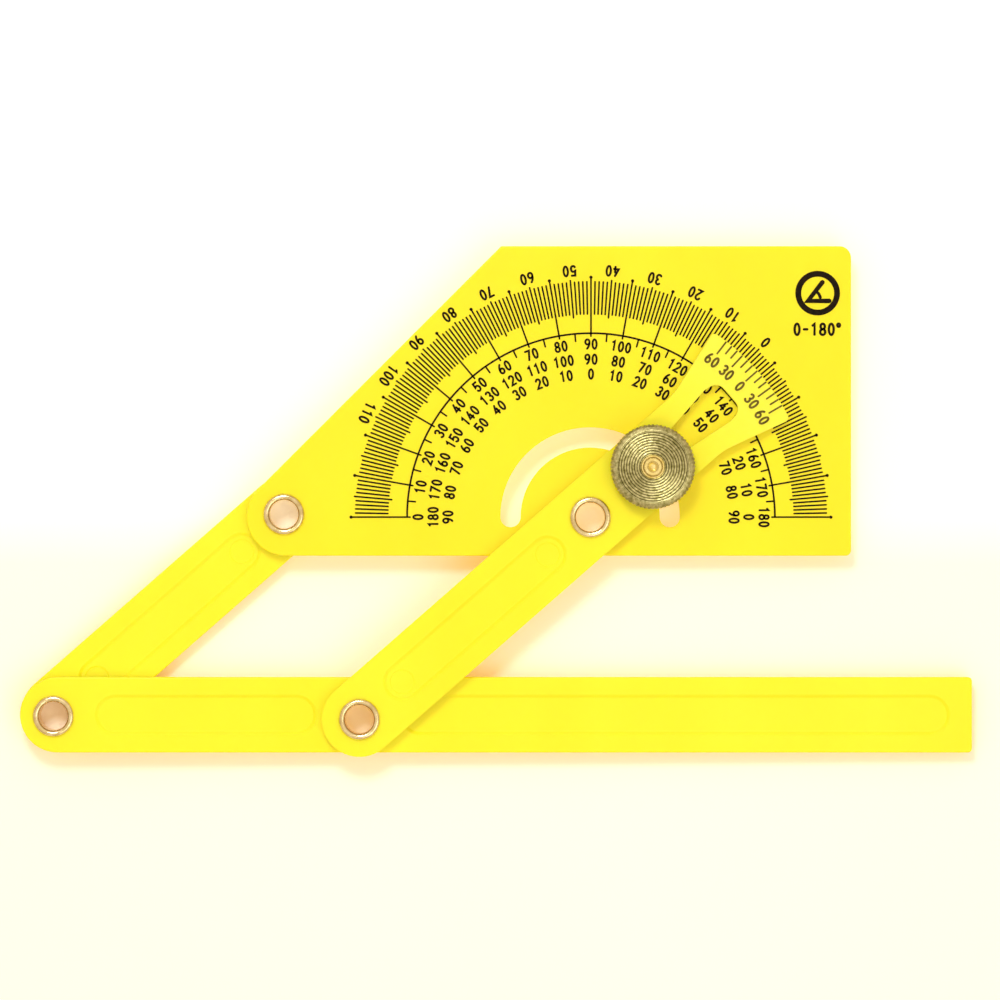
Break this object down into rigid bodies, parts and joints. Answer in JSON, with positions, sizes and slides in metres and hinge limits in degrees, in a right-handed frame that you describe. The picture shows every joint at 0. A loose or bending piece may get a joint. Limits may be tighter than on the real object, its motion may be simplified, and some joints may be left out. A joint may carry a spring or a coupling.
{
  "type": "angle finder protractor",
  "caption": "Flat angle-finding protractor: a scale plate, pointer arm, link and long base arm on hollow eyelets, locked by a knurled thumb nut in an arc slot.",
  "frame": {"origin": "on the pointer's pivot axis, at the plate's back face", "axes": "+X along the base arm towards its square end, +Y across the plate from its lower edge to its upper edge, +Z out of the printed face"},
  "size_m": [0.2449, 0.1312, 0.0178],
  "materials": {
    "plate_plastic": "smooth moulded, slightly translucent",
    "arm_plastic": "smooth moulded, slightly translucent",
    "eyelet_brass": "bright plated",
    "bolt_brass": "turned",
    "nut_brass": "dark turned and knurled",
    "scale_ink": "screen-printed"
  },
  "bodies": {
    "plate": {"protractor_plate": "plate_plastic", "link_eyelet": "eyelet_brass", "link_rear_washer": "eyelet_brass", "centre_eyelet": "eyelet_brass", "centre_rear_washer": "eyelet_brass"},
    "pointer": {"pointer_arm": "arm_plastic", "clamp_bolt": "bolt_brass", "bolt_washer": "bolt_brass"},
    "link": {"link_arm": "arm_plastic"},
    "base": {"base_arm": "arm_plastic", "pointer_eyelet": "eyelet_brass", "pointer_rear_washer": "eyelet_brass", "end_eyelet": "eyelet_brass", "end_rear_washer": "eyelet_brass"},
    "clamp_lift": {"nut_washer": "bolt_brass"},
    "nut": {"thumb_nut": "nut_brass"}
  },
  "joints": [
    {"name": "pointer_pivot", "type": "hinge", "parent": "plate", "child": "pointer", "pos_m": [0, 0, 0], "axis": [0, 0, 1], "range_deg": [-25, 122.5]},
    {"name": "link_pivot", "type": "hinge", "parent": "plate", "child": "link", "pos_m": [-0.0788, 0.00072, 0], "axis": [0, 0, 1], "range_deg": [-25, 122.5]},
    {"name": "base_pivot", "type": "hinge", "parent": "pointer", "child": "base", "pos_m": [-0.05929, -0.0519, 0], "axis": [0, 0, 1], "range_deg": [-122.5, 25]},
    {"name": "clamp_slide", "type": "slide", "parent": "pointer", "child": "clamp_lift", "axis": [0, 0, 1], "range_m": [0, 0.001]},
    {"name": "nut_turn", "type": "hinge", "parent": "clamp_lift", "child": "nut", "pos_m": [0.01593, 0.0129, 0.00001], "axis": [0, 0, 1], "range_deg": [0, 360]}
  ],
  "couplings": [
    {"joint": "link_pivot", "follows": "pointer_pivot", "ratio": 1},
    {"joint": "base_pivot", "follows": "pointer_pivot", "ratio": -1},
    {"joint": "clamp_slide", "follows": "nut_turn", "m_per_rad": 0.00012732}
  ]
}
